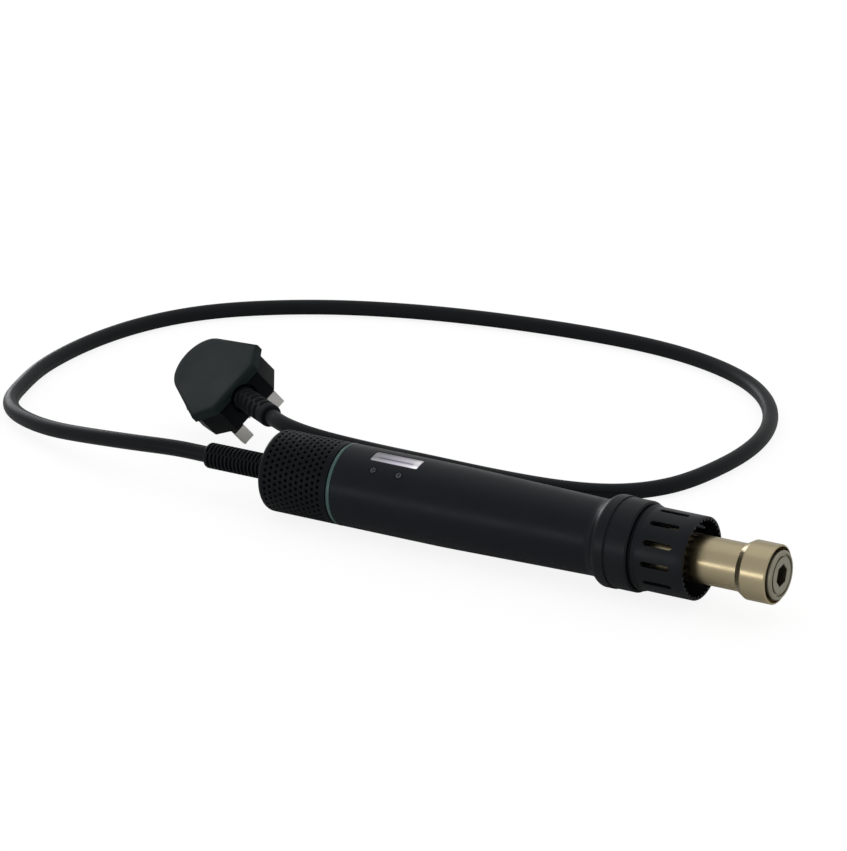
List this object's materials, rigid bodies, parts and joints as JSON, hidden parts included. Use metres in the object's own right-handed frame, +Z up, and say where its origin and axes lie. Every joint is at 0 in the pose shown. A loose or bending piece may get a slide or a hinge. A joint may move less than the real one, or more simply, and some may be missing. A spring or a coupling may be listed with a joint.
{
  "type": "hot air tool",
  "caption": "Hand-held hot air tool with its blower in the handle, a slotted heat guard, a steel outlet tube and nozzle, a mains lead and a three-pin plug.",
  "frame": {"origin": "on the surface that the tool lies on, below the middle of the tool from its strain relief's end to its outlet face", "axes": "+X along the tool toward its outlet, +Y away from the display's side toward the lead's loop, +Z up"},
  "size_m": [0.4692, 0.3019, 0.0512],
  "materials": {
    "cap_black": "satin black plastic",
    "filter_foam": "open dark foam",
    "relief_rubber": "matt black rubber",
    "grey_plastic": "grey plastic",
    "steel": "plain steel",
    "impeller_black": "black plastic",
    "ring_teal": "tinted translucent plastic",
    "body_black": "satin blue-black plastic",
    "lens_pale": "clear lens over a pale lit display",
    "key_grey": "dark grey key",
    "board_green": "green circuit board",
    "white_plastic": "white heat-resistant plastic",
    "tube_champagne": "polished steel with a warm heat tint",
    "ceramic": "unglazed ceramic",
    "mica": "mica sheet",
    "collar_black": "satin blue-black plastic",
    "gasket_dark": "dark rubber",
    "guard_black": "satin blue-black plastic",
    "head_champagne": "polished steel with a warm heat tint",
    "disc_champagne": "turned steel face",
    "plug_black": "satin black plastic",
    "pin_metal": "nickel plated",
    "carrier_grey": "dark grey plastic",
    "cord_rubber": "matt black rubber sheath"
  },
  "bodies": {
    "tool": {"rear_cap": "cap_black", "intake_filter": "filter_foam", "strain_relief": "relief_rubber", "gland_nut": "grey_plastic", "fan_housing": "grey_plastic", "fan_motor": "steel", "light_ring": "ring_teal", "body_shell": "body_black", "display_window": "lens_pale", "inner_frame": "grey_plastic", "control_board": "board_green", "display_module": "white_plastic", "tact_switch_left": "steel", "tact_switch_right": "steel", "air_duct": "white_plastic", "heater_tube": "tube_champagne", "heater_base": "ceramic", "mica_sleeve": "mica", "heater_core": "ceramic", "thermocouple": "steel", "front_collar": "collar_black", "guard_gasket": "gasket_dark", "heat_guard": "guard_black", "plug_base": "plug_black", "plug_cover": "plug_black", "plug_relief": "relief_rubber", "plug_pin_live": "pin_metal", "plug_pin_neutral": "pin_metal", "plug_pin_earth": "pin_metal", "fuse_carrier": "carrier_grey", "fuse": "ceramic", "cord": "cord_rubber"},
    "impeller": {"impeller": "impeller_black"},
    "left_key": {"key_left": "key_grey"},
    "right_key": {"key_right": "key_grey"},
    "nozzle": {"nozzle_shell": "head_champagne", "outlet_disc": "disc_champagne"}
  },
  "joints": [
    {"name": "fan_spin", "type": "hinge", "parent": "tool", "child": "impeller", "pos_m": [-0.09479, 0, 0.01957], "axis": [0.9999, 0, 0.0112], "continuous": true},
    {"name": "left_key_press", "type": "slide", "parent": "tool", "child": "left_key", "axis": [0.0087, 0.6293, -0.7771], "range_m": [0, 0.0004], "stiffness_N_per_m": 300, "springref_m": -0.0015},
    {"name": "right_key_press", "type": "slide", "parent": "tool", "child": "right_key", "axis": [0.0087, 0.6293, -0.7771], "range_m": [0, 0.0004], "stiffness_N_per_m": 300, "springref_m": -0.0015},
    {"name": "nozzle_pull", "type": "slide", "parent": "tool", "child": "nozzle", "axis": [0.9999, 0, 0.0112], "range_m": [0, 0.008]}
  ]
}
